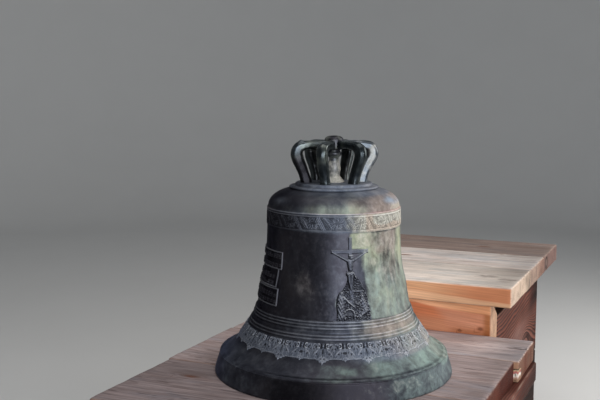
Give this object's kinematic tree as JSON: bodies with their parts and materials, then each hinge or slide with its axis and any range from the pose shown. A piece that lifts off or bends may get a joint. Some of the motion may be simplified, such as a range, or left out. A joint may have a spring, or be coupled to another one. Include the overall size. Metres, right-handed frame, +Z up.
{
  "type": "church bell on a stepped timber stand",
  "caption": "Bronze church bell resting mouth down on a heavy stepped timber stand, with a crown of hanging loops, moulded rings, a cross relief, an ornament band and a lace frieze.",
  "frame": {"origin": "on the floor, under the middle of the stand's footprint", "axes": "+Z up, +Y from the low front step that carries the bell to the high back step"},
  "size_m": [0.754, 1.458, 0.961],
  "materials": {
    "patinated_bronze": "aged dark bronze with green patina",
    "pale_timber": "weathered rough-sawn softwood",
    "orange_timber": "planed softwood heartwood",
    "brown_timber": "dark rough-sawn softwood"
  },
  "bodies": {
    "root": {"bell_wall": "patinated_bronze", "shoulder_band": "patinated_bronze", "waist_mouldings": "patinated_bronze", "skirt_frieze": "patinated_bronze", "lip_beads": "patinated_bronze", "cross_relief": "patinated_bronze", "inscription_panel": "patinated_bronze", "crown_plate": "patinated_bronze", "crown_post": "patinated_bronze", "crown_loop_1": "patinated_bronze", "crown_loop_2": "patinated_bronze", "crown_loop_3": "patinated_bronze", "crown_loop_4": "patinated_bronze", "crown_loop_5": "patinated_bronze", "crown_loop_6": "patinated_bronze", "low_plank_front": "pale_timber", "low_plank_middle": "pale_timber", "low_plank_back": "pale_timber", "low_bearer_left": "brown_timber", "low_bearer_right": "brown_timber", "low_front_board_top": "orange_timber", "low_front_board_bottom": "orange_timber", "low_side_board_left_top": "brown_timber", "low_side_board_left_bottom": "brown_timber", "low_side_board_right_top": "brown_timber", "low_side_board_right_bottom": "brown_timber", "high_plank_front": "pale_timber", "high_plank_middle": "pale_timber", "high_plank_back": "pale_timber", "high_packer_left": "brown_timber", "high_packer_right": "brown_timber", "riser_board_top": "orange_timber", "riser_board_bottom": "orange_timber", "high_side_board_left_top": "brown_timber", "high_side_board_left_bottom": "brown_timber", "high_side_board_right_top": "brown_timber", "high_side_board_right_bottom": "brown_timber", "high_back_board_top": "orange_timber", "high_back_board_bottom": "orange_timber"}
  },
  "joints": []
}
